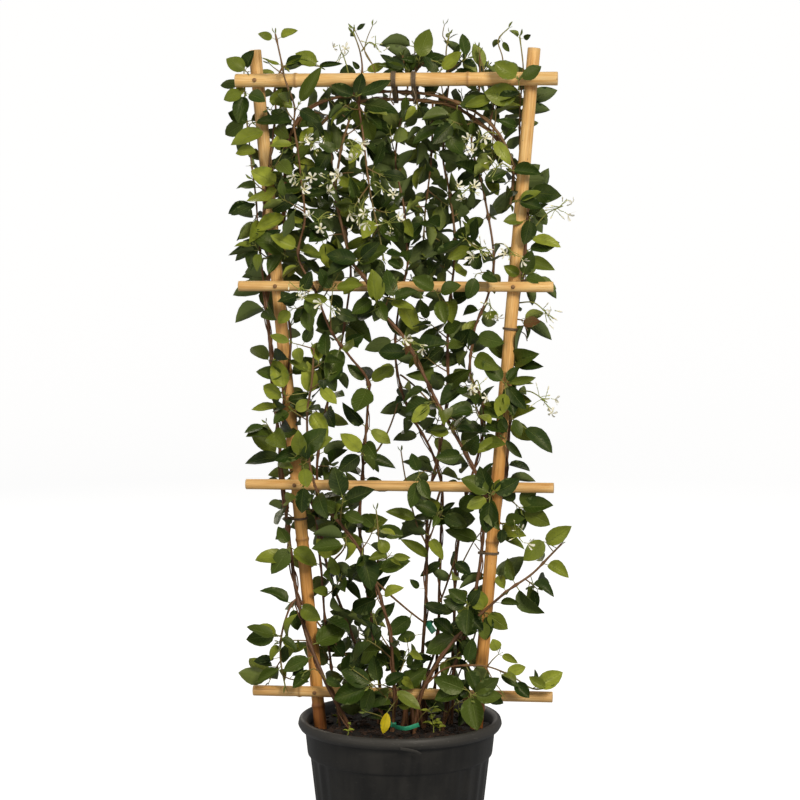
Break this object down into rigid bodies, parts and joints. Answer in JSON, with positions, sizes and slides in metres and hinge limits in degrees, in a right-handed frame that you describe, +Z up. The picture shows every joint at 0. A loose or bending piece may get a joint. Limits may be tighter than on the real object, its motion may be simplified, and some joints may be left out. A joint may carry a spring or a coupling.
{
  "type": "potted climbing plant",
  "caption": "Star jasmine in flower, trained up a fan-shaped cane trellis in a black nursery pot.",
  "frame": {"origin": "middle of the pot's flat base, where it stands", "axes": "+Z up along the trellis, -Y towards the front, where the trellis's rails are, +X to the right"},
  "size_m": [0.4455, 0.26, 1.0945],
  "materials": {
    "pot_plastic": "matte",
    "soil": "rough",
    "cane": "satin",
    "steel": "satin",
    "tie": "matte",
    "green_tape": "satin",
    "plant": "satin",
    "bloom": "satin"
  },
  "bodies": {
    "root": {"flower_spray_01": "bloom", "flower_spray_02": "bloom", "flower_spray_03": "bloom", "flower_spray_04": "bloom", "flower_spray_05": "bloom", "flower_spray_06": "bloom", "flower_spray_07": "bloom", "flower_spray_08": "bloom", "flower_spray_09": "bloom", "flower_spray_10": "bloom", "flower_spray_11": "bloom", "flower_spray_12": "bloom", "flower_spray_13": "bloom", "flower_spray_14": "bloom", "flower_spray_15": "bloom", "flower_spray_16": "bloom", "flower_spray_17": "bloom", "flower_spray_18": "bloom", "flower_spray_19": "bloom", "flower_spray_20": "bloom", "flower_spray_21": "bloom", "flower_spray_22": "bloom", "flower_spray_23": "bloom", "flower_spray_24": "bloom", "nail_bottom_left": "steel", "nail_bottom_right": "steel", "nail_lower_left": "steel", "nail_lower_right": "steel", "nail_top_left": "steel", "nail_top_right": "steel", "nail_upper_left": "steel", "nail_upper_right": "steel", "pot": "pot_plastic", "potting_soil": "soil", "rail_bottom": "cane", "rail_lower": "cane", "rail_top": "cane", "rail_upper": "cane", "stem_centre_four": "plant", "stem_centre_left": "plant", "stem_centre_one": "plant", "stem_centre_three": "plant", "stem_centre_two": "plant", "stem_diagonal": "plant", "stem_left_mid": "plant", "stem_left_outer": "plant", "stem_left_twiner": "plant", "stem_right_low": "plant", "stem_right_outer": "plant", "tie_arch_left": "tie", "tie_arch_right": "tie", "tie_green_lower": "green_tape", "tie_green_upper": "green_tape", "tie_left_lower": "tie", "tie_right_lower": "tie", "tie_right_upper": "tie", "upright_left": "cane", "upright_right": "cane"}
  },
  "joints": []
}
